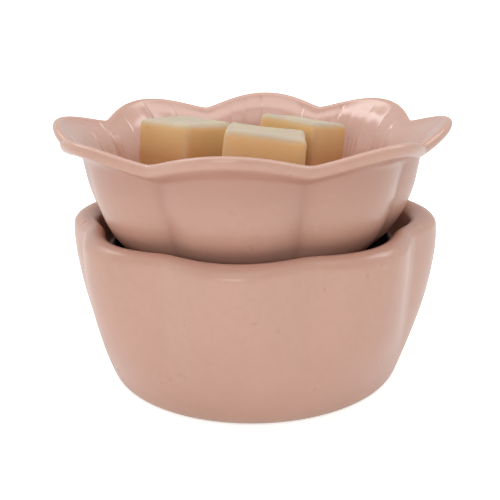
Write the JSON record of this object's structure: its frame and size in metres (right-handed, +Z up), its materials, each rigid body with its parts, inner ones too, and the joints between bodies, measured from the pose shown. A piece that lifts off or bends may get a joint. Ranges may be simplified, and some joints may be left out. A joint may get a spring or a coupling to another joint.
{
  "type": "electric wax melt warmer",
  "caption": "Petalled ceramic dish holding wax cubes, resting on a lobed ceramic base with a hot plate, a flat heater and a screwed bottom cover.",
  "frame": {"origin": "on the ground under the middle of the base", "axes": "+Z up; -Y towards the front, where a petal's middle faces; the cord hole is at +Y; +X to the right"},
  "size_m": [0.15, 0.15, 0.0979],
  "materials": {
    "blush_glaze": "satin blush glaze, slightly mottled",
    "honey_wax": "soft satin honey wax",
    "black_coating": "black non-stick coating",
    "black_plastic": "fine moulded grain",
    "grey_silicone": "matt silicone",
    "silver_mica": "flaky mica sheet",
    "bright_steel": "zinc-plated",
    "nichrome": "dull resistance strip",
    "white_fibre": "felted ceramic fibre",
    "aluminium": "pressed sheet",
    "white_porcelain": "unglazed porcelain",
    "brass": "turned",
    "red_sleeve": "silicone-rubber sleeve",
    "blue_sleeve": "silicone-rubber sleeve",
    "cream_sleeve": "woven glass-fibre sleeve"
  },
  "bodies": {
    "base": {"base_shell": "blush_glaze", "hot_plate": "black_coating", "plate_gasket": "grey_silicone", "mica_upper": "silver_mica", "heating_ribbon": "nichrome", "mica_lower": "silver_mica", "insulation_pad": "white_fibre", "clamp_plate": "bright_steel", "stud_washer": "bright_steel", "stud_nut": "bright_steel", "heater_stud": "bright_steel", "thermal_fuse": "bright_steel", "fuse_clip": "aluminium", "lead_fuse": "cream_sleeve", "lead_live": "red_sleeve", "lead_neutral": "blue_sleeve", "heat_shield": "aluminium", "bottom_cover": "black_plastic", "tie_rod_1": "bright_steel", "tie_rod_2": "bright_steel", "tie_rod_3": "bright_steel", "cover_screw_1": "bright_steel", "cover_screw_2": "bright_steel", "cover_screw_3": "bright_steel", "foot_1": "grey_silicone", "foot_2": "grey_silicone", "foot_3": "grey_silicone", "foot_4": "grey_silicone", "terminal_block": "white_porcelain", "terminal_screw_1": "brass", "terminal_screw_2": "brass", "cord_grommet": "black_plastic"},
    "dish": {"dish": "blush_glaze"},
    "wax_left": {"wax_cube_left": "honey_wax"},
    "wax_front": {"wax_cube_front": "honey_wax"},
    "wax_right": {"wax_cube_right": "honey_wax"}
  },
  "joints": [
    {"name": "dish_lift", "type": "slide", "parent": "base", "child": "dish", "axis": [0, 0, 1], "range_m": [0, 0.08]},
    {"name": "wax_left_lift", "type": "slide", "parent": "dish", "child": "wax_left", "axis": [0, 0, 1], "range_m": [0, 0.06]},
    {"name": "wax_front_lift", "type": "slide", "parent": "dish", "child": "wax_front", "axis": [0, 0, 1], "range_m": [0, 0.06]},
    {"name": "wax_right_lift", "type": "slide", "parent": "dish", "child": "wax_right", "axis": [0.126, 0.0588, 0.9903], "range_m": [0, 0.06]}
  ]
}
